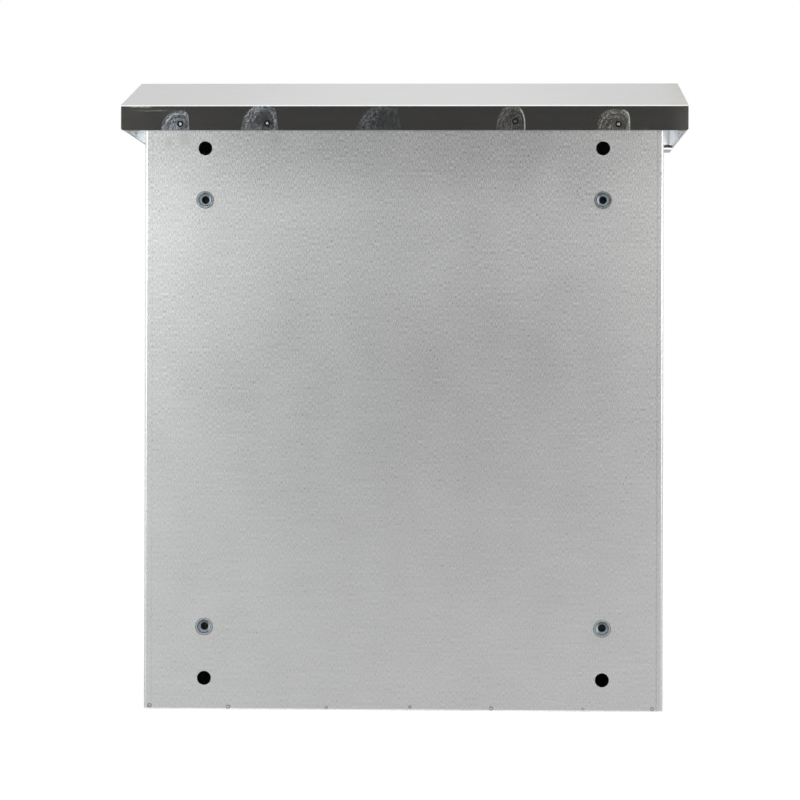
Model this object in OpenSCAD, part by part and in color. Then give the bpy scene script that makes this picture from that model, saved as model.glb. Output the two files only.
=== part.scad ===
// Wall box folded from stainless steel sheet, with a rain hood and a hinged door.
// Sizes are in millimetres. X runs across the box, +Z is up and +Y points out of the back.
// The origin is the centre of the four wall holes, in the outer face of the back panel.

/* [Box] */
// Outer width of the box
box_w = 352; // [330:1:450]
// Outer height of the box
box_h = 403; // [395:1:480]
// Depth from the back panel to the frame round the door opening
box_d = 144; // [130:1:160]
// Thickness of the sheet that the box, the hood and the door are folded from
sheet = 1.2; // [1:0.1:2]
// Inner radius of the folds
fold_r = 0.3; // [0.3:0.1:1.6]
// Width of the frame round the door opening, and how far the door laps over it
frame_w = 18; // [17:0.5:22]
// Height of the sealing lip round the door opening
lip_h = 9; // [7:0.5:10]
// Height of the flanges of the top and bottom panels
tray_flange = 12; // [8:0.5:14]
// Clearance between parts that move past each other
gap = 0.3; // [0.2:0.05:0.4]
// Radius of the dressed edges between the sides and the bottom
foot_corner_r = 1.2; // [0.6:0.1:2]

/* [Back fixings] */
// Spacing of the wall holes and of the rivet nuts across the box
hole_pitch_w = 270; // [230:1:280]
// Spacing of the wall holes up the box
hole_pitch_h = 360; // [340:1:364]
// Diameter of the wall holes
hole_d = 9.5; // [6:0.1:10]
// Spacing of the rivet nuts up the box
nut_pitch_h = 290; // [250:1:296]
// Diameter of the rivet nuts' flange
nut_flange_d = 12; // [11:0.5:14]
// Thickness of the rivet nuts' flange
nut_flange_t = 1; // [0.6:0.1:1.5]
// Diameter of the rivet nuts' body
nut_body_d = 8.8; // [8.4:0.1:9.4]
// Length of the rivet nuts behind the outer face of the back panel
nut_len = 13; // [12:0.5:16]
// Inner diameter of the rivet nuts' thread
nut_bore_d = 5; // [4.4:0.1:5.2]

/* [Mounting plate] */
// Thickness of the mounting plate
plate_t = 2; // [1.5:0.1:3]
// Distance from the plate's screws to its edges
plate_margin = 15; // [12:0.5:16]
// Diameter of the plate screws' washers
plate_washer_d = 14; // [12:0.5:18]

/* [Rain hood] */
// How far the hood stands out past each side of the box
hood_over = 16.5; // [12:0.5:30]
// Depth of the hood from the back panel
hood_d = 205; // [200:1:240]
// How far the hood's rear strip hangs below the top of the box
hood_lap = 9.3; // [8:0.1:11]
// Height of the hood's rear strip and front lip
strip_h = 17.3; // [15:0.1:24]
// Height of the ridge over the top of the rear strip
ridge_rise = 26; // [20:0.5:40]
// Distance of the ridge from the back panel
ridge_y = 118; // [100:1:130]
// Depth of the fold that closes the hood's front edge from below
hood_return = 34; // [20:1:36]
// Radius of the rounded lower corners of the rear strip
strip_corner_r = 1.5; // [0.5:0.1:3]
// Radius of the rounded lower corners of the front lip
lip_corner_r = 2.5; // [0.5:0.1:3]
// How far the lower edge of the hood's sides lies above the strip's lower edge
gable_lift = 1; // [0.5:0.1:1]
// Distance of the hood's inner support from the back panel
support_y = 108; // [60:1:116]
// Length of the hood's inner support
support_len = 240; // [160:1:300]
// Width of the support's foot and head flanges
support_flange = 22; // [15:1:30]

/* [Door] */
// Gap between the frame and the rear edge of the door
door_gap = 1.5; // [1:0.1:2.5]
// Depth of the door from its front face to its rear edge
door_d = 14.5; // [13.5:0.5:17]
// Gap between the top of the door and the hood's lower edge
door_head = 4.2; // [3:0.1:8]
// Distance of the door's lower edge from the bottom of the box
door_foot = 1.5; // [1:0.1:4]
// Width of the foam seal
seal_w = 14; // [10:0.5:16]

/* [Hinges] */
// Height of each hinge
hinge_h = 50; // [44:1:70]
// Distance of each hinge's middle from the end of the door
hinge_inset = 55; // [45:1:110]
// Outer diameter of the hinge knuckles
knuckle_d = 8.4; // [8:0.1:10]
// Diameter of the hinge pins
pin_d = 5; // [4:0.1:5.6]
// Thickness of the hinge leaves
leaf_t = 2; // [1.5:0.1:2.5]
// Width of the body leaf from the pin's axis
leaf_w = 28; // [26:1:40]
// Spacing of the screws in each leaf
leaf_pitch = 30; // [20:1:34]
// Diameter of the leaf screws
leaf_screw_d = 4; // [3:0.1:4.4]

/* [Lock] */
// Diameter of the lock housing's thread
lock_d = 20; // [18:0.5:22]
// Diameter of the lock housing's flange
lock_flange_d = 28; // [26:0.5:32]
// Width of the lock nut across its flats
lock_nut_af = 27; // [25:0.5:30]
// Diameter of the turning core's head
core_head_d = 15; // [13:0.5:16]
// Diameter of the turning core's shank
core_d = 10; // [8:0.5:11]
// Side of the core's square end, which carries the cam
core_square = 7; // [5:0.5:7.5]
// Thickness of the cam
cam_t = 3; // [2:0.5:4]
// Width of the cam
cam_w = 18; // [14:0.5:22]
// How far the locked cam reaches behind the frame
cam_bite = 10; // [8:0.5:14]

/* [Gland plate] */
// Width of the cable opening in the bottom panel
gland_w = 220; // [160:1:240]
// Depth of the cable opening in the bottom panel
gland_d = 76; // [50:1:80]
// Margin of the gland plate round the opening
gland_margin = 15; // [13:0.5:16]
// Thickness of the gland plate
gland_t = 2; // [1.5:0.1:3]
// Thickness of the gland plate's seal
gland_seal_t = 2; // [1:0.1:3]
// Diameter of the weld studs
stud_d = 5; // [4:0.1:6]
// Length of the weld studs
stud_len = 15; // [13:0.5:20]

/* [Hidden] */

$fn = 64;
// Straight pieces that an arc of a fold is made of
fold_steps = 10;
// Small step past a face, so that a cut goes right through it
past = 1;
outer_r = fold_r + sheet;

// Clear space between a screw and the hole that it passes through
screw_gap = 0.3;
// Clear space between a screw and the thread that it turns in
thread_gap = 0.1;
// Space that a weld fills between the hood and its support
weld_gap = 0.05;

// Thicknesses of the washers and nuts
plate_washer_t = 1.6;
stud_washer_t = 1;
earth_washer_t = 1.2;
earth_nut_t = 4;
leaf_nut_t = 3.2;
lock_nut_t = 5;
cam_washer_t = 1;

// The hood and the door, from the top of the box downwards
top_z = box_h / 2;
hood_low = top_z - hood_lap;
strip_top = hood_low + strip_h;
ridge_z = strip_top + ridge_rise;
hood_x = box_w / 2 + hood_over;
door_top = hood_low - door_head;
door_low = -top_z + door_foot;
open_top = door_top - frame_w;
open_low = -top_z + frame_w;
open_x = box_w / 2 - frame_w;

// The door in depth, each value measured from the back panel
door_rear = box_d + door_gap;
door_front = door_rear + door_d;
door_inner = door_front - sheet;
seal_rear = box_d + lip_h + gap;
seal_mid_x = open_x + sheet / 2;
seal_in_x = seal_mid_x - seal_w / 2;

// Hinge axis and the hinges' middle heights
hinge_x = box_w / 2 + knuckle_d / 2 + gap;
hinge_y = -(box_d + door_gap / 2);
hinge_zs = [door_top - hinge_inset, door_low + hinge_inset];
knuckle_h = (hinge_h - 2 * gap) / 3;
door_leaf_w = door_gap / 2 + door_d - outer_r - gap;
// Distance of the screws from the ends of the body leaf and the door leaf
body_screw_edge = 8;
door_screw_edge = 4.5;
leaf_screw_y = hinge_y + leaf_w - body_screw_edge;
door_screw_y = hinge_y - door_leaf_w + door_screw_edge;

// Lock axis, and the cam just behind the frame
lock_nut_r = lock_nut_af / 2 / cos(30);
lock_nut_room = 2;
lock_x = -(seal_in_x - lock_nut_r - lock_nut_room);
lock_z = (door_top + door_low) / 2;
lock_seal_t = 1;
lock_flange_t = 3;
cam_room = 1;
cam_front = box_d - sheet - cam_room;
cam_len = open_x + cam_bite + lock_x;
core_recess = 0.5;
core_head_t = 3.5;
cam_screw_d = 4;
cam_screw_len = 9;
lock_face = door_front + lock_seal_t + lock_flange_t;
square_end = cam_front - cam_t + gap;

// Gland plate, in the middle of the bottom panel's depth
gland_y = -box_d / 2;
gland_plate_w = gland_w + 2 * gland_margin;
gland_plate_d = gland_d + 2 * gland_margin;
floor_z = -top_z + sheet;
gland_top = floor_z + gland_seal_t + gland_t;
gland_stud_xs = [for (k = [-1:1]) k * (gland_w + gland_margin) / 2];
gland_stud_ys = [for (k = [-1, 1]) gland_y + k * (gland_d + gland_margin) / 2];

// Earth studs on a side wall and on the door
earth_d = 6;
earth_len = 17;
earth_base_h = 1.2;
earth_y = -(box_d - 44);
earth_z = -top_z + 45;
door_earth_in = 26;
door_earth_x = seal_in_x - door_earth_in;
door_earth_z = open_low + door_earth_in;

// Places of the wall holes and the rivet nuts, as [x, z]
corner_signs = [for (sx = [-1, 1], sz = [-1, 1]) [sx, sz]];
wall_hole_at = [for (s = corner_signs) [s[0] * hole_pitch_w / 2, s[1] * hole_pitch_h / 2]];
nut_at = [for (s = corner_signs) [s[0] * hole_pitch_w / 2, s[1] * nut_pitch_h / 2]];

function unit(v) = v / norm(v);
function left(v) = [-v[1], v[0]];
function turned(v, a) = [v[0] * cos(a) - v[1] * sin(a), v[0] * sin(a) + v[1] * cos(a)];

// Points of one fold at corner b of the line a, b, c. The sheet lies to the left of the line.
// face 0 is the line itself and face 1 the sheet's other side.
function fold_points(a, b, c, face) =
    let (
        d1 = unit(b - a),
        d2 = unit(c - b),
        side = sign(d1[0] * d2[1] - d1[1] * d2[0]),
        bend = acos(d1 * d2),
        line_r = side > 0 ? outer_r : fold_r,
        centre = b - d1 * line_r * tan(bend / 2) + left(d1) * side * line_r,
        face_r = line_r - side * sheet * face
    )
    [for (k = [0:fold_steps])
        centre + turned(-left(d1) * side * face_r, side * bend * k / fold_steps)];

function backwards(list) = [for (k = [len(list) - 1:-1:0]) list[k]];

// One face of a folded sheet whose sharp corners are given by a line of points
function face_line(line, face) =
    let (
        last = len(line) - 1,
        shift = face * sheet
    )
    concat(
        [line[0] + left(unit(line[1] - line[0])) * shift],
        [for (k = [1:last - 1]) each fold_points(line[k - 1], line[k], line[k + 1], face)],
        [line[last] + left(unit(line[last] - line[last - 1])) * shift]
    );

// Section through a folded sheet
module folded(line) {
    polygon(concat(face_line(line, 0), backwards(face_line(line, 1))));
}

// Extrusion of a [y, z] section along X, centred on the box
module along_x(width) {
    rotate([90, 0, 90])
        linear_extrude(height = width, center = true)
            children();
}

// Extrusion of an [x, z] section along Y, between two depths behind the back panel
module along_y(near, far) {
    translate([0, -near, 0])
        rotate([90, 0, 0])
            linear_extrude(height = far - near)
                children();
}

// Extrusion of an [x, y] section upwards, between two heights
module between_z(low, high) {
    translate([0, 0, low])
        linear_extrude(height = high - low)
            children();
}

// Cylinder along Y from one depth behind the back panel to another, at [x, z]
module rod_y(at, d, near, far) {
    translate([at[0], -near, at[1]])
        rotate([90, 0, 0])
            cylinder(h = far - near, d = d);
}

// Cylinder along X, at [y, z]
module rod_x(at, d, x0, x1) {
    translate([x0, at[0], at[1]])
        rotate([0, 90, 0])
            cylinder(h = x1 - x0, d = d);
}

// Hexagon nut of a given width across flats, standing on z = 0
module nut(af, h, bore) {
    difference() {
        intersection() {
            cylinder(h = h, r = af / 2 / cos(30), $fn = 6);
            // Chamfers that the corners of a turned nut have
            union() {
                cylinder(h = h / 2, r1 = af / 2, r2 = af / 2 + h / 2 * 1.7);
                translate([0, 0, h / 2])
                    cylinder(h = h / 2, r1 = af / 2 + h / 2 * 1.7, r2 = af / 2);
            }
        }
        translate([0, 0, -past])
            cylinder(h = h + 2 * past, d = bore);
    }
}

module washer(d, h, bore) {
    difference() {
        cylinder(h = h, d = d);
        translate([0, 0, -past])
            cylinder(h = h + 2 * past, d = bore);
    }
}

// Low round screw head with a cross recess, standing on z = 0
module round_head(d, h) {
    edge = h * 0.35;
    difference() {
        union() {
            cylinder(h = edge, d = d);
            translate([0, 0, edge])
                cylinder(h = h - edge, d1 = d, d2 = d * 0.62);
        }
        for (a = [0, 90])
            translate([0, 0, h])
                rotate([0, 0, a])
                    cube([d * 0.52, d * 0.12, h], center = true);
    }
}

// Hexagon screw head with a chamfered top, standing on z = 0
module hex_head(af, h) {
    intersection() {
        cylinder(h = h, r = af / 2 / cos(30), $fn = 6);
        cylinder(h = h, r1 = af / 2 + h * 1.7, r2 = af / 2);
    }
}

// Stands a shape that points up so that it points forward, at [x, z] and a given depth
module facing_front(at, depth) {
    translate([at[0], -depth, at[1]])
        rotate([90, 0, 0])
            children();
}

// Back panel and both sides in one folded sheet, with the side frames and their lips
module body_wrap() {
    side_line = [
        [open_x + sheet, -box_d - lip_h],
        [open_x + sheet, -box_d],
        [box_w / 2, -box_d],
        [box_w / 2, 0],
        [-box_w / 2, 0],
        [-box_w / 2, -box_d],
        [-open_x - sheet, -box_d],
        [-open_x - sheet, -box_d - lip_h]
    ];
    color("silver")
        difference() {
            between_z(-top_z, top_z)
                folded(side_line);
            // The lips end where the lips of the top and bottom panels meet them
            for (z = [[-top_z - past, open_low - sheet], [open_top + sheet, top_z + past]])
                translate([-box_w / 2, -box_d - lip_h - past, z[0]])
                    cube([box_w, lip_h + past, z[1] - z[0]]);
            for (at = wall_hole_at)
                rod_y(at, hole_d, -past, sheet + past);
            for (at = nut_at)
                rod_y(at, nut_body_d + 2 * thread_gap, -past, sheet + past);
            for (z = hinge_zs, k = [-1, 1])
                rod_x([leaf_screw_y, z + k * leaf_pitch / 2], leaf_screw_d + screw_gap,
                    box_w / 2 - sheet - past, box_w / 2 + past);
            for (s = [-1, 1])
                translate([s * box_w / 2, 0, -top_z])
                    corner_cut(s, foot_corner_r, -past, box_d + lip_h + past);
        }
}

// Panel at the top of the box: rear and side flanges turned down inside the wrap, and the
// front folded down to the opening and out into the sealing lip
module end_panel(open_edge) {
    inner_x = box_w / 2 - sheet;
    flange_low = top_z - tray_flange;
    // The corner pieces stop short of the inner radius of the wrap's folds
    relief = 0.35 * fold_r;
    corner = outer_r - relief;
    difference() {
        along_x(2 * (inner_x - outer_r))
            folded([
                [-sheet, flange_low],
                [-sheet, top_z],
                [-box_d, top_z],
                [-box_d, open_edge + sheet],
                [-box_d - lip_h, open_edge + sheet]
            ]);
        for (s = [-1, 1])
            translate([s * (open_x + inner_x) / 2, -box_d - lip_h / 2 + sheet / 2, 0])
                cube([inner_x - open_x, lip_h + sheet, 3 * box_h], center = true);
    }
    along_y(sheet + outer_r, box_d - outer_r)
        folded([
            [inner_x, flange_low],
            [inner_x, top_z],
            [-inner_x, top_z],
            [-inner_x, flange_low]
        ]);
    // The rear corners between the flanges are welded shut
    for (s = [-1, 1])
        translate([s * (inner_x - outer_r + corner / 2), -sheet - outer_r + corner / 2, top_z - sheet / 2])
            cube([corner, corner, sheet], center = true);
}

module top_panel() {
    color("silver")
        end_panel(open_top);
}

// The same panel upside down, with the cable opening
module bottom_panel() {
    color("silver")
        difference() {
            mirror([0, 0, 1])
                end_panel(-open_low);
            translate([0, gland_y, -top_z])
                cube([gland_w, gland_d, 4 * sheet], center = true);
        }
}

// Hood of one folded sheet with welded gables. Its rear strip lies on the back panel.
module rain_hood() {
    roof_line = [
        [sheet, hood_low],
        [sheet, strip_top],
        [-ridge_y, ridge_z],
        [-hood_d, strip_top],
        [-hood_d, hood_low],
        [-hood_d + hood_return, hood_low]
    ];
    color("gainsboro")
        difference() {
            union() {
                along_x(2 * hood_x)
                    folded(roof_line);
                for (s = [-1, 1])
                    translate([s * (hood_x - sheet / 2), 0, 0])
                        along_x(sheet)
                            difference() {
                                polygon(face_line(roof_line, 0));
                                translate([-hood_d - past, hood_low - past])
                                    square([hood_d + sheet + 2 * past, gable_lift + past]);
                            }
            }
            for (s = [-1, 1])
                translate([s * hood_x, 0, hood_low]) {
                    // Rounded lower corners of the rear strip and the front lip
                    corner_cut(s, strip_corner_r, -sheet - past, 0);
                    corner_cut(s, lip_corner_r, hood_d - outer_r, hood_d + past);
                    // The inward fold ends between the gables
                    translate([-sheet / 2, -hood_d + outer_r, -past])
                        cube([sheet, hood_return - outer_r + past, gable_lift + past]);
                }
        }
}

// What is cut away to round a lower corner on the side that s points to, from one depth behind
// the back panel to another
module corner_cut(s, r, near, far) {
    along_y(near, far)
        difference() {
            translate([s > 0 ? -r : -past, -past])
                square([r + past, r + past]);
            translate([-s * r, r])
                circle(r = r);
        }
}

// Channel between the top of the box and the rear slope of the roof
module hood_support() {
    slope = ridge_rise / (ridge_y + sheet);
    under = sheet * sqrt(1 + slope * slope) + weld_gap;
    function roof_z(y) = strip_top + (sheet - y) * slope - under;
    front_y = -support_y;
    color("silver")
        along_x(support_len)
            folded([
                [front_y + support_flange, roof_z(front_y + support_flange)],
                [front_y, roof_z(front_y)],
                [front_y, top_z],
                [front_y + support_flange, top_z]
            ]);
}

// Blind fixing nut: flange on the back, dished mouth, crimped bulge and threaded end
module rivet_nut() {
    r = nut_body_d / 2;
    bore = nut_bore_d / 2;
    mouth = r + 0.1;
    bulge = r + 1.8;
    rotate_extrude()
        polygon([
            [mouth, nut_flange_t],
            [nut_flange_d / 2 - 0.3, nut_flange_t],
            [nut_flange_d / 2, nut_flange_t - 0.3],
            [nut_flange_d / 2, 0],
            [r, 0],
            [r, -sheet],
            [bulge - 0.6, -sheet],
            [bulge, -sheet - 0.8],
            [bulge, -sheet - 2],
            [bulge - 0.6, -sheet - 2.8],
            [r, -sheet - 3.6],
            [r, -nut_len + 0.6],
            [r - 0.6, -nut_len],
            [bore, -nut_len],
            [bore, -3.4],
            [bore + 0.7, -2.2]
        ]);
}

module rivet_nuts() {
    color("lightsteelblue")
        for (at = nut_at)
            translate([at[0], 0, at[1]])
                rotate([-90, 0, 0])
                    rivet_nut();
}

module mounting_plate() {
    w = hole_pitch_w + 2 * plate_margin;
    h = nut_pitch_h + 2 * plate_margin;
    corner = 6;
    color("lightgray")
        along_y(nut_len, nut_len + plate_t)
            difference() {
                union() {
                    square([w - 2 * corner, h], center = true);
                    square([w, h - 2 * corner], center = true);
                    for (s = corner_signs)
                        translate([s[0] * (w / 2 - corner), s[1] * (h / 2 - corner)])
                            circle(r = corner);
                }
                for (at = nut_at)
                    translate(at)
                        circle(d = nut_bore_d + 1.4);
            }
}

module plate_washers() {
    color("lightgray")
        for (at = nut_at)
            facing_front(at, nut_len + plate_t)
                washer(plate_washer_d, plate_washer_t, nut_bore_d + 1.4);
}

// Screws that hold the plate. Their tips end inside the nuts, short of the dished mouths.
module plate_screws() {
    head_af = 10;
    head_h = 4;
    head_at = nut_len + plate_t + plate_washer_t;
    tip_at = 8;
    color("gray")
        for (at = nut_at) {
            facing_front(at, head_at)
                hex_head(head_af, head_h);
            rod_y(at, nut_bore_d - 2 * thread_gap, tip_at, head_at);
        }
}

// Holes of the gland plate's studs, cut upwards from a height
module gland_stud_holes(z, h, d) {
    for (x = gland_stud_xs, y = gland_stud_ys)
        translate([x, y, z])
            cylinder(h = h, d = d);
}

module gland_plate() {
    color("silver")
        difference() {
            translate([-gland_plate_w / 2, gland_y - gland_plate_d / 2, gland_top - gland_t])
                cube([gland_plate_w, gland_plate_d, gland_t]);
            gland_stud_holes(gland_top - gland_t - past, gland_t + 2 * past, stud_d + 2 * screw_gap);
        }
}

module gland_seal() {
    color("dimgray")
        difference() {
            translate([-gland_plate_w / 2, gland_y - gland_plate_d / 2, floor_z])
                cube([gland_plate_w, gland_plate_d, gland_seal_t]);
            translate([0, gland_y, floor_z + gland_seal_t / 2])
                cube([gland_w, gland_d, 2 * gland_seal_t], center = true);
            gland_stud_holes(floor_z - past, gland_seal_t + 2 * past, stud_d + 2 * screw_gap);
        }
}

module gland_studs() {
    color("silver")
        for (x = gland_stud_xs, y = gland_stud_ys)
            translate([x, y, floor_z])
                cylinder(h = stud_len, d = stud_d - 2 * thread_gap);
}

module gland_washers() {
    color("lightgray")
        for (x = gland_stud_xs, y = gland_stud_ys)
            translate([x, y, gland_top])
                washer(2 * stud_d + 1, stud_washer_t, stud_d + screw_gap);
}

module gland_nuts() {
    color("lightgray")
        for (x = gland_stud_xs, y = gland_stud_ys)
            translate([x, y, gland_top + stud_washer_t])
                nut(1.6 * stud_d, 0.8 * stud_d, stud_d);
}

// Earth studs: a threaded stud with two washers and two nuts, standing on z = 0
module earth_stud() {
    cylinder(h = earth_base_h, d = 1.5 * earth_d);
    cylinder(h = earth_len, d = earth_d - 2 * thread_gap);
}

// Two washers, each with a nut on it, or only the nuts
module earth_stack(washers) {
    washer_d = 12;
    nut_af = 10;
    step = earth_nut_t + earth_washer_t;
    for (k = [0:1])
        translate([0, 0, earth_base_h + k * step])
            if (washers)
                washer(washer_d, earth_washer_t, earth_d + screw_gap);
            else
                translate([0, 0, earth_washer_t])
                    nut(nut_af, earth_nut_t, earth_d);
}

// Places a shape that points up on the side wall away from the hinges
module on_side_wall() {
    translate([-box_w / 2 + sheet, earth_y, earth_z])
        rotate([0, 90, 0])
            children();
}

// Places a shape that points up on the door's inner face
module on_door_back() {
    translate([door_earth_x, -door_inner, door_earth_z])
        rotate([-90, 0, 0])
            children();
}

module body_earth_stud() {
    color("goldenrod")
        on_side_wall()
            earth_stud();
}

module body_earth_washers() {
    color("goldenrod")
        on_side_wall()
            earth_stack(true);
}

module body_earth_nuts() {
    color("goldenrod")
        on_side_wall()
            earth_stack(false);
}

module door_earth_stud() {
    color("goldenrod")
        on_door_back()
            earth_stud();
}

module door_earth_washers() {
    color("goldenrod")
        on_door_back()
            earth_stack(true);
}

module door_earth_nuts() {
    color("goldenrod")
        on_door_back()
            earth_stack(false);
}

// Section of the leaf and knuckle seen along the pin, with the plate towards +Y.
// reach is the plate's width from the axis, and start where the plate begins.
module leaf_plate(reach, start) {
    translate([-knuckle_d / 2 - gap, start])
        square([leaf_t, reach - start]);
}

module leaf_knuckle(reach, bore) {
    difference() {
        union() {
            circle(d = knuckle_d);
            leaf_plate(reach, 0);
        }
        circle(d = bore);
    }
}

// Body leaf: its two knuckles hold the pin, and its middle is cut back for the door's knuckle
module body_leaf(z) {
    clear = knuckle_d / 2 + 2 * gap;
    low = -hinge_h / 2;
    translate([hinge_x, hinge_y, z])
        difference() {
            union() {
                between_z(low, low + knuckle_h)
                    leaf_knuckle(leaf_w, pin_d + 2 * thread_gap);
                between_z(-low - knuckle_h, -low)
                    leaf_knuckle(leaf_w, pin_d + 2 * thread_gap);
                between_z(low, -low)
                    leaf_plate(leaf_w, clear);
            }
            leaf_holes(leaf_screw_y - hinge_y);
        }
}

// Door leaf: one knuckle between the body leaf's two
module door_leaf(z) {
    clear = knuckle_d / 2 + 2 * gap;
    low = -hinge_h / 2;
    translate([hinge_x, hinge_y, z])
        difference() {
            mirror([0, 1, 0])
                union() {
                    between_z(-knuckle_h / 2, knuckle_h / 2)
                        leaf_knuckle(door_leaf_w, pin_d + 3 * thread_gap);
                    between_z(low, -low)
                        leaf_plate(door_leaf_w, clear);
                }
            leaf_holes(door_screw_y - hinge_y);
        }
}

module leaf_holes(y) {
    for (k = [-1, 1])
        rod_x([y, k * leaf_pitch / 2], leaf_screw_d + screw_gap, -knuckle_d, 0);
}

module upper_body_leaf() {
    color("silver")
        body_leaf(hinge_zs[0]);
}

module lower_body_leaf() {
    color("silver")
        body_leaf(hinge_zs[1]);
}

module upper_door_leaf() {
    color("silver")
        door_leaf(hinge_zs[0]);
}

module lower_door_leaf() {
    color("silver")
        door_leaf(hinge_zs[1]);
}

// Hinge pin with a flat round head at each end
module hinge_pin(z) {
    head_h = 1.5;
    translate([hinge_x, hinge_y, z]) {
        cylinder(h = hinge_h, d = pin_d, center = true);
        for (s = [-1, 1])
            translate([0, 0, s * (hinge_h + head_h) / 2])
                cylinder(h = head_h, d = knuckle_d - 1, center = true);
    }
}

module upper_hinge_pin() {
    color("gray")
        hinge_pin(hinge_zs[0]);
}

module lower_hinge_pin() {
    color("gray")
        hinge_pin(hinge_zs[1]);
}

// Screws of both hinges' leaves at one depth
module leaf_screws(y) {
    tip = box_w / 2 - sheet - leaf_nut_t - 1.5;
    face = box_w / 2 + leaf_t;
    for (z = hinge_zs, k = [-1, 1])
        translate([0, y, z + k * leaf_pitch / 2]) {
            rod_x([0, 0], leaf_screw_d - 2 * thread_gap, tip, face);
            translate([face, 0, 0])
                rotate([0, 90, 0])
                    round_head(1.85 * leaf_screw_d, 0.6 * leaf_screw_d);
        }
}

module leaf_nuts(y) {
    for (z = hinge_zs, k = [-1, 1])
        translate([box_w / 2 - sheet, y, z + k * leaf_pitch / 2])
            rotate([0, -90, 0])
                nut(1.75 * leaf_screw_d, leaf_nut_t, leaf_screw_d);
}

module body_leaf_screws() {
    color("gray")
        leaf_screws(leaf_screw_y);
}

module body_leaf_nuts() {
    color("gray")
        leaf_nuts(leaf_screw_y);
}

module door_leaf_screws() {
    color("gray")
        leaf_screws(door_screw_y);
}

module door_leaf_nuts() {
    color("gray")
        leaf_nuts(door_screw_y);
}

// Solid bounded by one face of the door's folded sheet: 0 outside, 1 inside
module door_block(face) {
    mid = (door_top + door_low) / 2;
    half = (door_top - door_low) / 2;
    rear = face == 0 ? door_rear : door_rear - past;
    function pan_line(w) = [[-w, -rear], [-w, -door_front], [w, -door_front], [w, -rear]];
    intersection() {
        between_z(door_low, door_top)
            polygon(face_line(pan_line(box_w / 2), face));
        translate([0, 0, mid])
            along_x(box_w)
                polygon([for (p = face_line(pan_line(half), face)) [p[1], p[0]]]);
    }
}

// Door: a pan with its four edges folded back
module door_panel() {
    color("silver")
        difference() {
            door_block(0);
            door_block(1);
            rod_y([lock_x, lock_z], lock_d + 2 * thread_gap, door_inner - past, door_front + past);
            for (z = hinge_zs, k = [-1, 1])
                rod_x([door_screw_y, z + k * leaf_pitch / 2], leaf_screw_d + screw_gap,
                    box_w / 2 - sheet - past, box_w / 2 + past);
        }
}

// Foam seal on the door, in line with the lip round the opening
module door_seal() {
    mid_z = (open_top + open_low) / 2;
    ring_w = 2 * seal_mid_x;
    ring_h = open_top - open_low + sheet;
    color("dimgray")
        translate([0, 0, mid_z])
            along_y(seal_rear, door_inner)
                difference() {
                    square([ring_w + seal_w, ring_h + seal_w], center = true);
                    square([ring_w - seal_w, ring_h - seal_w], center = true);
                }
}

// Quarter-turn lock. All its parts lie along one axis through the door.
module on_lock_axis(depth) {
    facing_front([lock_x, lock_z], depth)
        children();
}

module lock_housing() {
    rear = cam_front + gap;
    bore_gap = 0.2;
    color("silver")
        difference() {
            union() {
                on_lock_axis(rear)
                    cylinder(h = lock_face - rear, d = lock_d);
                on_lock_axis(door_front + lock_seal_t) {
                    cylinder(h = lock_flange_t - 1, d = lock_flange_d);
                    translate([0, 0, lock_flange_t - 1])
                        cylinder(h = 1, d1 = lock_flange_d, d2 = lock_flange_d - 2);
                }
            }
            on_lock_axis(rear - past)
                cylinder(h = lock_face - rear + 2 * past, d = core_d + bore_gap);
            on_lock_axis(lock_face - core_recess - core_head_t)
                cylinder(h = core_head_t + past, d = core_head_d + bore_gap);
        }
}

module lock_seal() {
    color("dimgray")
        on_lock_axis(door_front)
            washer(lock_flange_d - 1, lock_seal_t, lock_d + 2 * thread_gap);
}

module lock_nut() {
    color("silver")
        on_lock_axis(door_inner - lock_nut_t)
            nut(lock_nut_af, lock_nut_t, lock_d + 2 * thread_gap);
}

// Core that a key turns: slotted for a triangular key in front, square behind
module lock_core() {
    head_rear = lock_face - core_recess - core_head_t;
    key_r = 4.6;
    key_floor = 0.5;
    tapped_d = cam_screw_d + 2 * thread_gap;
    color("gray")
        difference() {
            union() {
                on_lock_axis(head_rear)
                    cylinder(h = core_head_t, d = core_head_d);
                on_lock_axis(cam_front)
                    cylinder(h = head_rear - cam_front, d = core_d);
                on_lock_axis(square_end)
                    translate([-core_square / 2, -core_square / 2, 0])
                        cube([core_square, core_square, cam_front - square_end]);
            }
            on_lock_axis(head_rear + key_floor)
                rotate([0, 0, 90])
                    cylinder(h = core_head_t, r = key_r, $fn = 3);
            on_lock_axis(square_end - past)
                cylinder(h = cam_screw_len + past, d = tapped_d);
        }
}

// Cam, drawn unlocked: its tongue points down
module lock_cam() {
    hole = core_square + 2 * thread_gap;
    color("silver")
        on_lock_axis(cam_front - cam_t)
            linear_extrude(height = cam_t)
                difference() {
                    union() {
                        circle(d = cam_w);
                        translate([-cam_w / 2, -cam_len + cam_w / 4])
                            square([cam_w, cam_len - cam_w / 4]);
                        translate([-cam_w / 4, -cam_len])
                            square([cam_w / 2, cam_w / 4 + past]);
                        for (s = [-1, 1])
                            translate([s * cam_w / 4, -cam_len + cam_w / 4])
                                circle(d = cam_w / 2);
                    }
                    square([hole, hole], center = true);
                }
}

module lock_cam_washer() {
    washer_d = 14;
    color("lightgray")
        on_lock_axis(cam_front - cam_t - cam_washer_t)
            washer(washer_d, cam_washer_t, cam_screw_d + 2 * screw_gap);
}

module lock_cam_screw() {
    seat = cam_front - cam_t - cam_washer_t;
    head_af = 7;
    head_h = 3;
    color("gray") {
        on_lock_axis(seat)
            mirror([0, 0, 1])
                hex_head(head_af, head_h);
        on_lock_axis(seat)
            cylinder(h = cam_screw_len, d = cam_screw_d);
    }
}

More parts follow.
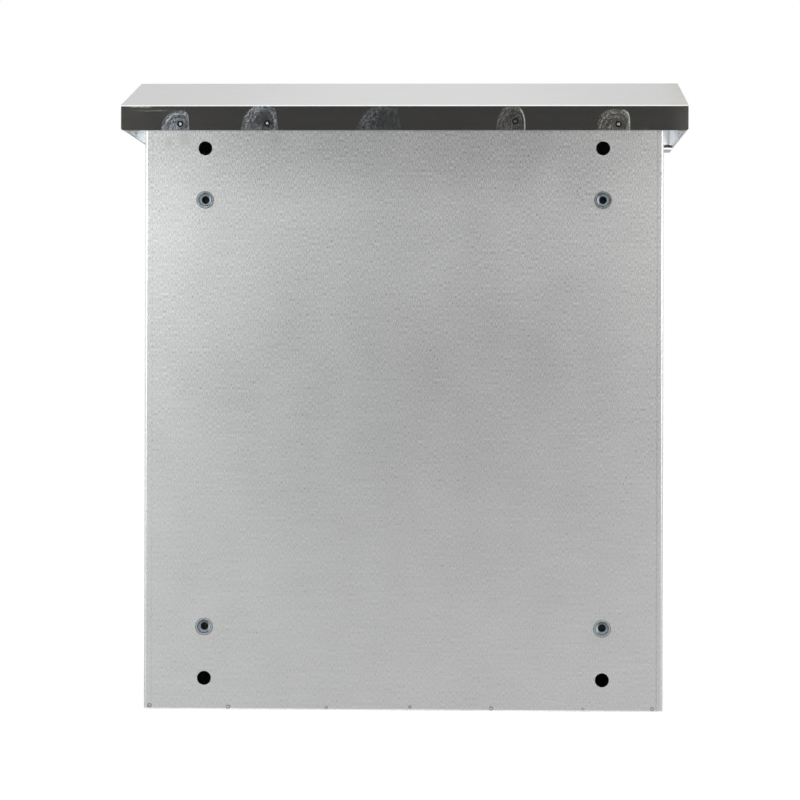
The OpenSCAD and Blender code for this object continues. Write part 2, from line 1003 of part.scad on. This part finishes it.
body_wrap();
top_panel();
bottom_panel();
rain_hood();
hood_support();
rivet_nuts();
mounting_plate();
plate_screws();
plate_washers();
gland_plate();
gland_seal();
gland_studs();
gland_washers();
gland_nuts();
body_earth_stud();
body_earth_washers();
body_earth_nuts();
upper_body_leaf();
lower_body_leaf();
upper_hinge_pin();
lower_hinge_pin();
body_leaf_screws();
body_leaf_nuts();
door_panel();
door_seal();
upper_door_leaf();
lower_door_leaf();
door_leaf_screws();
door_leaf_nuts();
lock_housing();
lock_seal();
lock_nut();
door_earth_stud();
door_earth_washers();
door_earth_nuts();
lock_core();
lock_cam();
lock_cam_washer();
lock_cam_screw();
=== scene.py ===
import math

import bpy
from mathutils import Matrix, Vector


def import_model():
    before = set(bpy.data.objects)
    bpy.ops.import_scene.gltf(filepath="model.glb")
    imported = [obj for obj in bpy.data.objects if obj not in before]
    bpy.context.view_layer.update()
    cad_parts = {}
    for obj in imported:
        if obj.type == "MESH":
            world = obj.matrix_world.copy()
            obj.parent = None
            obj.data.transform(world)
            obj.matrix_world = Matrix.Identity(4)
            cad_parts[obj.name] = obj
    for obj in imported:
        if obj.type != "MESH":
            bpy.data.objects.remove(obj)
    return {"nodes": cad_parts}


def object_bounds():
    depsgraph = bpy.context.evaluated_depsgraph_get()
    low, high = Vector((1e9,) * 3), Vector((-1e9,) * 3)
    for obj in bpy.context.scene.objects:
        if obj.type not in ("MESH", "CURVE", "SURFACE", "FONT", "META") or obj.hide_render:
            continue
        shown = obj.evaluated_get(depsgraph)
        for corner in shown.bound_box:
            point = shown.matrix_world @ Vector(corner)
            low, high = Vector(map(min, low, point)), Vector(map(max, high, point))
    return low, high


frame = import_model()
cad_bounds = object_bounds()

# Lengths are in metres, except where a comment says mm. +Y points out of the back towards the
# wall, and the photograph is taken from there, so its left is +X.
MM = 0.001
MM_PER_M = 1000
FLOOR = cad_bounds[0].z


class Nodes:
    """Node tree of one material. Inputs are numbers, colours or output sockets."""

    # Sockets of a Mix node that mixes colours
    MIX_SHARE, MIX_FIRST, MIX_SECOND, MIX_RESULT = 0, 6, 7, 2

    def __init__(self, name):
        self.material = bpy.data.materials.new(name)
        self.material.use_nodes = True
        self.nodes = self.material.node_tree.nodes
        self.links = self.material.node_tree.links
        self.nodes.clear()
        self.place = self.add("ShaderNodeTexCoord").outputs["Object"]
        split = self.add("ShaderNodeSeparateXYZ", Vector=self.place).outputs
        self.x, self.y, self.z = split["X"], split["Y"], split["Z"]

    def add(self, kind, **inputs):
        """Makes a node. An input's name has _ for each space."""
        node = self.nodes.new(kind)
        for key, value in inputs.items():
            self.put(node.inputs[key.replace("_", " ")], value)
        return node

    def put(self, socket, value):
        """Links an output to a socket, or sets the socket's own value."""
        if isinstance(value, bpy.types.NodeSocket):
            self.links.new(value, socket)
        elif socket.type == "RGBA":
            socket.default_value = (*value, 1)
        else:
            socket.default_value = value

    def fill(self, node, *values):
        """Gives a node its first inputs in order, and returns its first output."""
        for socket, value in zip(node.inputs, values):
            self.put(socket, value)
        return node.outputs[0]

    def calc(self, operation, *values):
        node = self.nodes.new("ShaderNodeMath")
        node.operation = operation
        return self.fill(node, *values)

    def chain(self, operation, first, *rest):
        for value in rest:
            first = self.calc(operation, first, value)
        return first

    def plus(self, *values):
        return self.chain("ADD", *values)

    def times(self, *values):
        return self.chain("MULTIPLY", *values)

    def larger(self, *values):
        return self.chain("MAXIMUM", *values)

    def absolute(self, value):
        return self.calc("ABSOLUTE", value)

    def power(self, value, exponent):
        return self.calc("POWER", value, exponent)

    def one_minus(self, value):
        return self.calc("SUBTRACT", 1.0, value)

    def ramp(self, value, low, high, at_low=0.0, at_high=1.0):
        """Smooth step of a value from one level to another."""
        node = self.nodes.new("ShaderNodeMapRange")
        node.interpolation_type = "SMOOTHSTEP"
        return self.fill(node, value, low, high, at_low, at_high)

    def fall(self, value, low, high):
        """Smooth step of a value from one down to zero."""
        return self.ramp(value, low, high, 1.0, 0.0)

    def noise(self, size, detail=2.0, rough=0.5, seed=0.0):
        """Noise whose patches have about the given sizes in mm along X, Y and Z."""
        scale = tuple(1 / (s * MM) for s in size)
        moved = self.add("ShaderNodeMapping", Vector=self.place, Scale=scale,
                         Location=(seed, seed * 0.7, seed * 1.3)).outputs[0]
        return self.add("ShaderNodeTexNoise", Vector=moved, Scale=1.0, Detail=detail,
                        Roughness=rough).outputs["Fac"]

    def centred(self, value, amount):
        """Noise brought to swing about zero by the given amount."""
        return self.times(self.plus(value, -0.5), amount)

    def mix(self, share, first, second, kind="MIX"):
        node = self.nodes.new("ShaderNodeMix")
        node.data_type = "RGBA"
        node.blend_type = kind
        for index, value in ((self.MIX_SHARE, share), (self.MIX_FIRST, first),
                             (self.MIX_SECOND, second)):
            self.put(node.inputs[index], value)
        return node.outputs[self.MIX_RESULT]

    def shade(self, colour, factor):
        """Colour times a grey value."""
        grey = self.add("ShaderNodeCombineColor", Red=factor, Green=factor, Blue=factor)
        return self.mix(1.0, colour, grey.outputs[0], "MULTIPLY")

    def distance(self, x, z, wide=1.0, tall=1.0, wobble=None):
        """Distance in mm from a place on the back, stretched across and up."""
        across = self.times(self.plus(self.x, -x * MM), MM_PER_M / wide)
        up = self.times(self.plus(self.z, -z * MM), MM_PER_M / tall)
        squares = self.plus(self.times(across, across), self.times(up, up))
        length = self.calc("SQRT", squares)
        return length if wobble is None else self.plus(length, wobble)

    def facing(self):
        """The direction that the surface faces, as X, Y and Z."""
        normal = self.add("ShaderNodeTexCoord").outputs["Normal"]
        return self.add("ShaderNodeSeparateXYZ", Vector=normal).outputs

    def rear_face(self, depth):
        """One on a face that points to the rear and lies beyond a depth in mm, zero elsewhere."""
        beyond = self.calc("GREATER_THAN", self.y, depth * MM)
        return self.times(self.ramp(self.facing()["Y"], 0.93, 0.99), beyond)

    def scratches(self, scratches):
        """Thin straight scratches, each given by its two ends in mm and its half width."""
        total = 0.0
        for x0, z0, x1, z1, half in scratches:
            length = math.hypot(x1 - x0, z1 - z0)
            ux, uz = (x1 - x0) / length, (z1 - z0) / length
            across = self.plus(self.times(self.x, MM_PER_M * -uz),
                               self.times(self.z, MM_PER_M * ux), x0 * uz - z0 * ux)
            along = self.plus(self.times(self.x, MM_PER_M * ux),
                              self.times(self.z, MM_PER_M * uz), -(x0 * ux + z0 * uz))
            from_middle = self.absolute(self.plus(along, -length / 2))
            line = self.times(self.fall(self.absolute(across), half * 0.4, half),
                              self.fall(from_middle, length * 0.35, length * 0.5))
            total = self.larger(total, line)
        return total

    def output(self, shader):
        """Ends the tree in a shader's output, and returns the material."""
        self.add("ShaderNodeOutputMaterial", Surface=shader)
        return self.material

    def finish(self, colour, roughness, height, depth, metallic=1.0):
        """Ends the tree in the main shader, with a bump of the given depth in mm."""
        bump = self.add("ShaderNodeBump", Height=height, Distance=depth * MM, Strength=1.0)
        shader = self.add("ShaderNodeBsdfPrincipled", Base_Color=colour, Metallic=metallic,
                          Roughness=roughness, Normal=bump.outputs[0])
        return self.output(shader.outputs[0])


# Steel of the back panel. Places on the back are in mm across and up.

PANEL_COLOUR = (0.752, 0.760, 0.755)
TINT_COLOUR = (0.36, 0.31, 0.24)
BURN_COLOUR = (0.14, 0.095, 0.05)

# Press-brake lines beside the rear folds: place across, and how dark each is
PRESS_LINES = [(-171.7, 0.13), (170.9, 0.05)]
LINE_CORE, LINE_EDGE = 0.25 * MM, 0.7 * MM

# Tack welds along the lower edge: place and radius
TACKS = [
    (172.0, -198.8, 1.2), (118.5, -199.5, 1.2), (51.8, -199.6, 0.9), (-5.2, -198.9, 0.9),
    (-60.1, -199.5, 1.1), (-122.3, -199.6, 0.7), (-168.9, -199.3, 1.1)
]

# Heat tints under the strip's spot welds: place, half width and half height
HEAT_TINTS = [(160, 184, 4, 6), (149, 186, 7, 8), (87, 186, 6, 6)]

# Scratches: both ends and the half width
PANEL_SCRATCHES = [
    (152, 170, 155, 166, 0.35), (151, 166.5, 156, 169, 0.3),
    (-135, 164, -140.5, 163.5, 0.3), (-153, 160.5, -154.5, 160, 0.4),
    (139, -106, 126, -108, 0.3), (-92, -193, -112, -197, 0.3)
]


def panel_steel():
    """Matt sheet of the back panel: upright flecks, faint cross streaks and the marks of use."""
    n = Nodes("wrap_steel")
    back = n.rear_face(-0.5)
    fleck = n.noise((0.5, 0.5, 2.0), detail=0.0)
    streak = n.noise((45, 45, 0.9), detail=1.0, seed=3.0)
    cloud = n.noise((28, 28, 40), detail=3.0, rough=0.55, seed=7.0)
    fleck_strength = n.ramp(n.z, -0.17, 0.19, 0.50, 1.10)
    tone = n.plus(1.0, n.times(n.centred(fleck, 0.76), fleck_strength), n.centred(streak, 0.12),
                  n.centred(cloud, 0.06))
    rough = n.plus(0.295, n.centred(fleck, 0.06), n.centred(cloud, 0.03))

    # Painted shade: the sheet is darker towards the strip, most so in the middle, with a painted
    # shadow right under the strip, and painted light makes its upper half lighter
    middle = n.times(n.ramp(n.z, 0.135, 0.19), n.fall(n.absolute(n.x), 0.08, 0.165))
    painted_shadow_under_strip = n.times(n.ramp(n.z, 0.130, 0.192), n.ramp(n.x, 0.03, 0.12, -0.17, -0.25))
    painted_light_upper_half = n.ramp(n.z, 0.02, 0.12, 0.0, 0.09)
    tone = n.plus(tone, n.times(middle, -0.10), painted_shadow_under_strip, painted_light_upper_half)

    lines = n.plus(*(
        n.times(n.fall(n.absolute(n.plus(n.x, -x * MM)), LINE_CORE, LINE_EDGE), dark)
        for x, dark in PRESS_LINES
    ))
    lines = n.times(lines, back)
    tone = n.plus(tone, n.times(lines, -1.0))

    # Each tack weld leaves an uneven burnt ring
    wobble = n.centred(n.noise((0.9, 0.9, 0.9), detail=3.0, seed=11.0), 1.5)
    burns = 0.0
    for x, z, radius in TACKS:
        away = n.distance(x, z, 1.1, 1.0, wobble)
        ring = n.times(n.ramp(away, radius * 0.35, radius * 0.7),
                       n.fall(away, radius, radius * 1.45))
        burns = n.larger(burns, ring)
    burns = n.times(burns, back)

    tints = 0.0
    for x, z, wide, tall in HEAT_TINTS:
        tints = n.larger(tints, n.fall(n.distance(x, z, wide, tall), 0.1, 1.0))
    tints = n.times(tints, back, n.ramp(fleck, 0.3, 0.7))

    scratches = n.times(n.scratches(PANEL_SCRATCHES), back)
    tone = n.plus(tone, n.times(scratches, 0.12))

    colour = n.shade(PANEL_COLOUR, tone)
    colour = n.mix(n.times(tints, 0.35), colour, TINT_COLOUR)
    colour = n.mix(n.times(burns, 0.75), colour, BURN_COLOUR)
    height = n.plus(n.times(fleck, 0.6), n.times(lines, -1.5))
    return n.finish(colour, n.plus(rough, n.times(burns, 0.2)), height, 0.01)


def plain_steel(name, tone, rough, grain=(1.0, 1.0, 4.2), strength=0.25):
    """Inner and front sheet of the same steel, without the marks of the back."""
    n = Nodes(name)
    fleck = n.noise(grain, rough=0.6)
    cloud = n.noise((30, 30, 42), detail=3.0, seed=5.0)
    level = n.plus(1.0, n.centred(fleck, strength), n.centred(cloud, 0.07))
    roughness = n.plus(rough, n.centred(fleck, 0.14), n.centred(cloud, 0.05))
    return n.finish(n.shade((tone, tone * 1.01, tone * 1.01), level), roughness, fleck, 0.015)


# Steel of the rain hood. Places on its rear strip are in mm across and up.

STRIP_LOW = 192.2
STRIP_COLOUR = (0.68, 0.67, 0.63)
# Painted reflection of a bluish light on the left half's ground patches
STRIP_PAINTED_REFLECTION = (0.62, 0.655, 0.69)
ROOF_COLOUR = (0.66, 0.665, 0.66)
ROOF_END_COLOUR = (0.66, 0.64, 0.60)
# Painted light: colour of the sheet's other side inside the hood
INSIDE_PAINTED_LIGHT_COLOUR = (0.84, 0.87, 0.90)
RING_COLOUR = (0.10, 0.10, 0.11)
MATT_ROUGH = 0.42
STRIP_ROUGH = 0.095
DULL_ROUGH = 0.22

# Spot welds of the strip: place, and how bright the middle is
RINGS = [(152.1, 196.5, 1.0), (92.8, 197.0, 1.2), (-75.6, 198.2, 0.3), (-145.2, 196.3, 1.3)]

# Patches ground over them. Each has its middle on the strip's lower edge, its width to the
# left and to the right of that as the rear shows them, its height, the squareness of its two
# sides, how dull it is, how much less its core is, and where its polished right rim starts and
# how dull that is.
PATCHES = [
    (153.9, 11.6, 8.0, 13.4, 1.9, 5.0, 0.40, 0.12, 0.90, 0.16),
    (96.4, 14.4, 11.0, 18.2, 2.0, 3.0, 0.42, 0.32, 0.78, 0.08),
    (12.8, 20.0, 10.6, 18.6, 1.7, 3.0, 0.26, 0.20, 0.92, 0.06),
    (-73.3, 11.2, 9.4, 17.4, 2.2, 2.8, 0.31, 0.10, 0.88, 0.50),
    (-142.9, 12.5, 10.6, 14.6, 2.4, 4.5, 0.37, 0.10, 0.89, 0.58)
]
STRIP_SCRATCHES = [
    (189.8, 208.3, 169.3, 207.9, 0.8), (187.7, 205.5, 146, 205.4, 0.3),
    (-160.7, 191.9, -165.8, 194.4, 0.3), (-161.6, 193.3, -164.5, 192.2, 0.25)
]


def brush_strokes(n, radius, across, up):
    """Noise drawn out round the middle of a ground patch. Its places are in mm."""
    where = n.add("ShaderNodeCombineXYZ", X=radius, Y=n.times(across, 0.05), Z=n.times(up, 0.12))
    noise = n.add("ShaderNodeTexNoise", Vector=where.outputs[0], Scale=1.0, Detail=3.0)
    return noise.outputs["Fac"]


def ground_patch(n, middle, left, right, tall, left_square, right_square, level, core,
                 rim_start, rim):
    """How dull one ground patch makes the strip, with its brushed fan, core and rim."""
    across = n.times(n.plus(n.x, -middle * MM), -MM_PER_M)
    up = n.plus(n.times(n.z, MM_PER_M), -STRIP_LOW)

    # One on the patch's outline, which is rounder or squarer on either side
    radius = 0.0
    for reach, square in ((-left, left_square), (right, right_square)):
        side = n.power(n.larger(n.times(across, 1 / reach), 0.0), square)
        top = n.power(n.larger(n.times(up, 1 / tall), 0.0), square)
        radius = n.larger(radius, n.power(n.plus(side, top), 1 / square))
    inside = n.fall(radius, 0.93, 1.01)
    strokes = n.ramp(brush_strokes(n, n.times(radius, right), across, up), 0.36, 0.64, 0.55, 1.45)

    blotch = n.centred(n.noise((2.0, 2.0, 2.0), detail=4.0, rough=0.65, seed=middle * 0.01), 2.6)
    from_core = n.distance(middle - right * 0.1, STRIP_LOW + tall * 0.35,
                           (left + right) * 0.3, tall * 0.45, blotch)
    less = n.times(n.fall(from_core, 0.4, 1.4), core)
    edge = n.times(n.ramp(radius, rim_start - 0.03, rim_start + 0.02), n.fall(radius, 0.95, 0.99),
                   n.ramp(across, right * 0.35, right * 0.75))
    dull = n.times(n.larger(n.plus(level, n.times(less, -1.0)), 0.0), inside, strokes)
    return n.plus(dull, n.times(edge, rim))


def hood_steel():
    """Bright rolled sheet on the rear strip, ground dull round its welds, and matt elsewhere."""
    n = Nodes("hood_steel")
    back = n.rear_face(0.5)
    matt = n.one_minus(back)
    streak = n.noise((60, 60, 0.7))
    cloud = n.noise((22, 22, 9), detail=3.0, seed=4.0)
    speck = n.noise((0.8, 0.8, 0.8), seed=9.0)
    fleck = n.noise((0.6, 0.6, 1.6), detail=1.0, seed=6.0)
    grit = n.noise((1.0, 1.0, 1.5), detail=1.0, seed=5.0)

    # What makes the strip dull: patches, spot welds, scratches and its right end
    ground = 0.0
    for patch in PATCHES:
        ground = n.larger(ground, ground_patch(n, *patch))
    rings, centres = 0.0, 0.0
    for x, z, bright in RINGS:
        away = n.distance(x, z)
        rings = n.larger(rings, n.times(n.ramp(away, 1.0, 1.4), n.fall(away, 1.9, 2.4)))
        centre = n.times(n.fall(n.distance(x - 0.1, z), 0.7, 1.3),
                         n.ramp(speck, 0.3, 0.6, 0.5, 1.0), bright)
        centres = n.larger(centres, centre)
    right_end = n.fall(n.x, -0.192, -0.176)
    scratches = n.times(n.scratches(STRIP_SCRATCHES), n.ramp(speck, 0.42, 0.6))
    dull = n.plus(n.times(n.larger(ground, n.times(centres, 0.62)), n.one_minus(rings)),
                  n.times(right_end, 0.18), n.times(scratches, 0.6))

    # Painted light: the sheet's other side, inside the hood, is given a paler, bluish colour
    facing = n.facing()
    gable_inside = n.calc("LESS_THAN", n.times(facing["X"], n.x), -0.1)
    lip_inside = n.times(n.calc("GREATER_THAN", facing["Y"], 0.5),
                         n.calc("LESS_THAN", n.y, -0.1))
    inside = n.larger(gable_inside, lip_inside)

    patches = n.ramp(ground, 0.02, 0.12)
    tone = n.plus(1.0, n.centred(cloud, 0.06), n.centred(streak, 0.05),
                  n.times(n.centred(fleck, 0.25), matt),
                  n.times(n.centred(grit, 1.7), patches, back), n.times(centres, back, 0.35))

    # The roof is duller towards its ends, and its right end is ground
    roof = n.times(matt, n.calc("GREATER_THAN", facing["Z"], 0.5))
    worn = n.plus(n.ramp(n.absolute(n.plus(n.x, 0.01)), 0.03, 0.19, 0.02, -0.09),
                  n.times(right_end, n.ramp(cloud, 0.3, 0.7), -0.12),
                  n.times(right_end, n.centred(speck, 0.3)))
    tone = n.plus(tone, n.times(worn, roof))

    # Painted reflection: the patches on the left half are tinted by a bluish light that they
    # mirror
    painted_blue_reflection = n.times(patches, n.ramp(n.x, -0.03, 0.01))
    colour = n.mix(back, n.mix(n.times(right_end, roof, 0.6), ROOF_COLOUR, ROOF_END_COLOUR),
                   n.mix(painted_blue_reflection, STRIP_COLOUR, STRIP_PAINTED_REFLECTION))
    colour = n.shade(colour, tone)
    # Painted light inside the hood
    colour = n.mix(inside, colour, INSIDE_PAINTED_LIGHT_COLOUR)
    colour = n.mix(n.times(rings, back, 0.85), colour, RING_COLOUR)
    strip_rough = n.plus(STRIP_ROUGH, n.centred(cloud, 0.02), n.times(dull, DULL_ROUGH))
    rough = n.plus(n.times(matt, MATT_ROUGH), n.times(back, strip_rough),
                   n.times(lip_inside, 0.2), n.times(gable_inside, -0.2))
    height = n.plus(n.times(streak, 0.05), n.times(speck, 0.03))
    return n.finish(colour, rough, height, 0.04, metallic=n.one_minus(lip_inside))


# Fittings

NUT_X, NUT_Z = 0.135, 0.145
NUT_BORE_DEPTH = -3.2 * MM
NUT_RIM_COLOUR = (0.58, 0.60, 0.60)
NUT_DISH_COLOUR = (0.42, 0.50, 0.58)
# Painted shade in the rivet nuts' bores
NUT_BORE_PAINTED_SHADE = (0.035, 0.033, 0.030)
TIP_PAINTED_SHADE_COLOUR = (0.03, 0.028, 0.025)
PLATING = (0.62, 0.64, 0.66)


def plated(name, colour, rough, cloud_size=3.0, dark_tip=None):
    """Bright plating with faint clouds and fine pits, and painted shade, near black, behind a
    depth in mm.
    """
    n = Nodes(name)
    cloud = n.noise((cloud_size,) * 3, detail=3.0)
    pit = n.noise((0.4, 0.4, 0.4), seed=6.0)
    colour = n.shade(colour, n.plus(1.0, n.centred(cloud, 0.25), n.centred(pit, 0.12)))
    if dark_tip is not None:
        # Painted shade on the part of the screw deep in the nut
        tip = n.ramp(n.y, (dark_tip - 2) * MM, dark_tip * MM)
        colour = n.mix(tip, colour, TIP_PAINTED_SHADE_COLOUR)
    return n.finish(colour, n.plus(rough, n.centred(cloud, 0.12)), pit, 0.02)


def rivet_zinc():
    """Zinc of the rivet nuts: painted shade at the flange's edge, round the mouth and in the
    bore, and a painted highlight in the mouth.
    """
    n = Nodes("rivet_zinc")
    across = n.times(n.plus(n.absolute(n.x), -NUT_X), MM_PER_M)
    up = n.times(n.plus(n.absolute(n.z), -NUT_Z), MM_PER_M)
    cloud = n.noise((2.5, 2.5, 2.5), detail=3.0)
    pit = n.noise((0.5, 0.5, 0.5), seed=6.0)
    radius = n.plus(n.calc("SQRT", n.plus(n.times(across, across), n.times(up, up))),
                    n.centred(cloud, 0.6))
    # Painted shade at the flange's outer edge and in a ring at the edge of the mouth
    rim = n.ramp(radius, 5.3, 5.8)
    painted_shade_ring = n.times(n.ramp(radius, 3.7, 4.1), n.fall(radius, 4.3, 4.8))
    # Painted highlight on one side of the dished mouth
    painted_highlight_side = n.times(n.ramp(across, -2.2, -3.4), n.fall(radius, 4.0, 4.4))
    level = n.plus(1.0, n.centred(cloud, 0.5), n.centred(pit, 0.2), n.times(rim, -0.5),
                   n.times(painted_shade_ring, -0.35), n.times(painted_highlight_side, 1.6))
    flange = n.ramp(radius, 3.9, 4.4)
    colour = n.mix(flange, n.shade(NUT_DISH_COLOUR, level), n.shade(NUT_RIM_COLOUR, level))
    # Painted shade: the bore is near black beyond its depth
    painted_shade_bore = n.calc("LESS_THAN", n.y, NUT_BORE_DEPTH)
    colour = n.mix(painted_shade_bore, colour, n.shade(NUT_BORE_PAINTED_SHADE, level))
    return n.finish(colour, n.plus(0.24, n.centred(cloud, 0.1)), pit, 0.02,
                    metallic=n.ramp(flange, 0.0, 1.0, 0.45, 1.0))


def galvanised():
    """Hot-dip zinc with its crystal flakes."""
    n = Nodes("galvanised_plate")
    where = n.add("ShaderNodeMapping", Vector=n.place, Scale=(110, 110, 110)).outputs[0]
    flakes = n.add("ShaderNodeTexVoronoi", Vector=where, Scale=1.0, Randomness=1.0)
    tint = n.add("ShaderNodeSeparateColor", Color=flakes.outputs["Color"]).outputs["Red"]
    cloud = n.noise((18, 18, 18), detail=4.0)
    level = n.plus(0.9, n.times(tint, 0.22), n.centred(cloud, 0.1))
    return n.finish(n.shade((0.56, 0.58, 0.60), level), n.plus(0.36, n.times(tint, 0.14)), tint,
                    0.02)


def rubber(name, tone, cells=0.7):
    """Matt black rubber with open cells of a size in mm."""
    n = Nodes(name)
    pores = n.noise((cells,) * 3, detail=3.0, rough=0.7)
    cloud = n.noise((14, 14, 14), seed=3.0)
    level = n.plus(1.0, n.centred(pores, 0.8), n.centred(cloud, 0.3))
    return n.finish(n.shade((tone, tone, tone * 1.03), level),
                    n.plus(0.72, n.centred(pores, 0.2)), pores, 0.25, metallic=0.0)


FINISHES = {
    panel_steel(): ["body_wrap"],
    hood_steel(): ["rain_hood"],
    plain_steel("panel_steel", 0.60, 0.40): [
        "top_panel", "bottom_panel", "hood_support", "gland_plate"],
    plain_steel("door_steel", 0.60, 0.34, grain=(0.5, 0.5, 30), strength=0.16): ["door_panel"],
    plain_steel("hinge_steel", 0.58, 0.30, grain=(0.6, 0.6, 3.0), strength=0.16): [
        "upper_body_leaf", "lower_body_leaf", "upper_door_leaf", "lower_door_leaf",
        "upper_hinge_pin", "lower_hinge_pin"],
    rivet_zinc(): ["rivet_nuts"],
    plated("screw_zinc", PLATING, 0.28): [
        "plate_washers", "gland_studs", "gland_washers", "gland_nuts",
        "body_leaf_screws", "body_leaf_nuts", "door_leaf_screws", "door_leaf_nuts",
        "lock_cam", "lock_cam_washer", "lock_cam_screw"],
    # Screws with painted shade on their tips deep in the nuts
    plated("screw_painted_shade_tip", PLATING, 0.28, dark_tip=-10): ["plate_screws"],
    plated("stud_brass", (0.62, 0.45, 0.20), 0.26): [
        "body_earth_stud", "body_earth_washers", "body_earth_nuts",
        "door_earth_stud", "door_earth_washers", "door_earth_nuts"],
    plated("lock_chrome", (0.66, 0.67, 0.68), 0.16, cloud_size=6.0): [
        "lock_housing", "lock_core", "lock_nut"],
    galvanised(): ["mounting_plate"],
    rubber("foam_seal", 0.035): ["door_seal"],
    rubber("flat_gasket", 0.025, cells=0.4): ["gland_seal", "lock_seal"]
}
for finish, names in FINISHES.items():
    for name in names:
        for holder in frame["nodes"][name].material_slots:
            holder.material = finish


# Camera at the photograph's place behind the box, fitted to the box's corners

SENSOR_WIDTH, LENS = 36, 132.75
SHIFT = (0.0145, -0.0428)
CAMERA_PLACE = (-0.0596, 2.0002, 0.0282)
YAW, PITCH, ROLL = (math.radians(a) for a in (1.995, -0.122, 0.153))


def turned(first, second, angle):
    """Two directions at right angles, both turned from the first towards the second."""
    return (first * math.cos(angle) + second * math.sin(angle),
            second * math.cos(angle) - first * math.sin(angle))


def photo_camera():
    data = bpy.data.cameras.new("photo_camera")
    data.sensor_width, data.lens = SENSOR_WIDTH, LENS
    data.shift_x, data.shift_y = SHIFT
    right, up, ahead = Vector((-1, 0, 0)), Vector((0, 0, 1)), Vector((0, -1, 0))
    right, ahead = turned(right, ahead, YAW)
    up, ahead = turned(up, ahead, PITCH)
    right, up = turned(right, up, ROLL)
    turn = Matrix((right, up, -ahead)).transposed()
    camera = bpy.data.objects.new("photo_camera", data)
    camera.matrix_world = Matrix.Translation(CAMERA_PLACE) @ turn.to_4x4()
    bpy.context.scene.collection.objects.link(camera)
    bpy.context.scene.camera = camera


# Stage

FLOOR_SIZE = 16
FLOOR_TONE = 0.62
FLOOR_LIFT = 0.38
SPOT_SIZE, SPOT_BLEND, SPOT_SOURCE = math.radians(2.6), 0.5, 0.03
BOX_MIDDLE = (0, -0.08, 0)


def put_in_scene(name, data, place, target, axis, up_axis):
    """Object at a place, with one of its axes turned towards a target."""
    thing = bpy.data.objects.new(name, data)
    thing.location = place
    turn = (Vector(target) - Vector(place)).to_track_quat(axis, up_axis)
    thing.rotation_euler = turn.to_euler()
    bpy.context.scene.collection.objects.link(thing)
    return thing


def stage_sheet(name, width, height, place, target, material):
    """Flat sheet of the stage whose face points at a target."""
    mesh = bpy.data.meshes.new(name)
    w, h = width / 2, height / 2
    mesh.from_pydata([(-w, -h, 0), (w, -h, 0), (w, h, 0), (-w, h, 0)], [], [(0, 1, 2, 3)])
    mesh.materials.append(material)
    thing = put_in_scene(name, mesh, place, target, "Z", "Y")
    return thing


def floor():
    """Pale floor that keeps the shadow and meets the white background."""
    n = Nodes("floor_white")
    matt = n.add("ShaderNodeBsdfDiffuse", Color=(FLOOR_TONE,) * 3)
    path = n.add("ShaderNodeLightPath").outputs
    seen = n.larger(path["Is Camera Ray"], path["Is Glossy Ray"], path["Is Transmission Ray"])
    glow = n.add("ShaderNodeEmission", Strength=n.times(seen, FLOOR_LIFT))
    both = n.fill(n.nodes.new("ShaderNodeAddShader"), matt.outputs[0], glow.outputs[0])
    stage_sheet("floor", FLOOR_SIZE, FLOOR_SIZE, (0, 0, FLOOR), (0, 0, FLOOR + 1), n.output(both))


def world():
    """Plain white surroundings."""
    made = bpy.data.worlds.new("studio")
    made.use_nodes = True
    back = made.node_tree.nodes["Background"]
    back.inputs["Color"].default_value = (1, 1, 1, 1)
    back.inputs["Strength"].default_value = 1.0
    bpy.context.scene.world = made


def softbox(name, place, size, power, colour=(1, 1, 1)):
    data = bpy.data.lights.new(name, "AREA")
    data.shape = "RECTANGLE"
    data.size, data.size_y = size
    data.energy = power
    data.color = colour
    put_in_scene(name, data, place, BOX_MIDDLE, "-Z", "Y")


def narrow_lamp(name, place, target, power):
    """Narrow spot lamp for one matt place, which the steel does not reflect."""
    data = bpy.data.lights.new(name, "SPOT")
    data.energy = power
    data.spot_size, data.spot_blend, data.shadow_soft_size = SPOT_SIZE, SPOT_BLEND, SPOT_SOURCE
    put_in_scene(name, data, place, target, "-Z", "Y").visible_glossy = False


def reflected_card(name, width, height, place, tone, up=False):
    """Grey card that only reflections show, as parts of the photographer's room."""
    n = Nodes(name)
    glow = n.add("ShaderNodeEmission", Color=(tone,) * 3, Strength=1.0)
    x, y, z = place
    target = (x, y, z + 1) if up else (x, 0, z)
    card = stage_sheet(name, width, height, place, target, n.output(glow.outputs[0]))
    card.visible_camera = False
    card.visible_diffuse = False
    card.visible_shadow = False
    card.visible_transmission = False


photo_camera()
world()
floor()
reflected_card("card_behind_camera", 1.40, 1.9, (0.08, 3.0, 0.75), 0.055)
reflected_card("card_on_floor", 8.0, 8.0, (0.0, -0.5, FLOOR + 0.001), 0.57, up=True)
reflected_card("card_in_front", 9.0, 3.0, (0.0, -4.5, 1.3), 0.72)
softbox("left_softbox", (1.65, 2.74, 1.05), (1.90, 2.2), 38, (0.97, 0.99, 1.0))
softbox("right_softbox", (-1.79, 2.65, 1.15), (1.84, 2.2), 39, (1.0, 0.99, 0.95))
softbox("top_softbox", (0.0, 0.9, 2.4), (3.0, 1.4), 12)

# Two spots on either side light the inner face of the hood's lip beside the box
for side, name, power in ((1, "left_hood", 160), (-1, "right_hood", 105)):
    for x in (0.19, 0.27):
        narrow_lamp(f"{name}_spot_{round(1000 * x)}", (side * x, 2.1, -0.12),
                    (side * 0.184, -0.2, 0.2), power)
bpy.context.scene.view_settings.view_transform = "Standard"
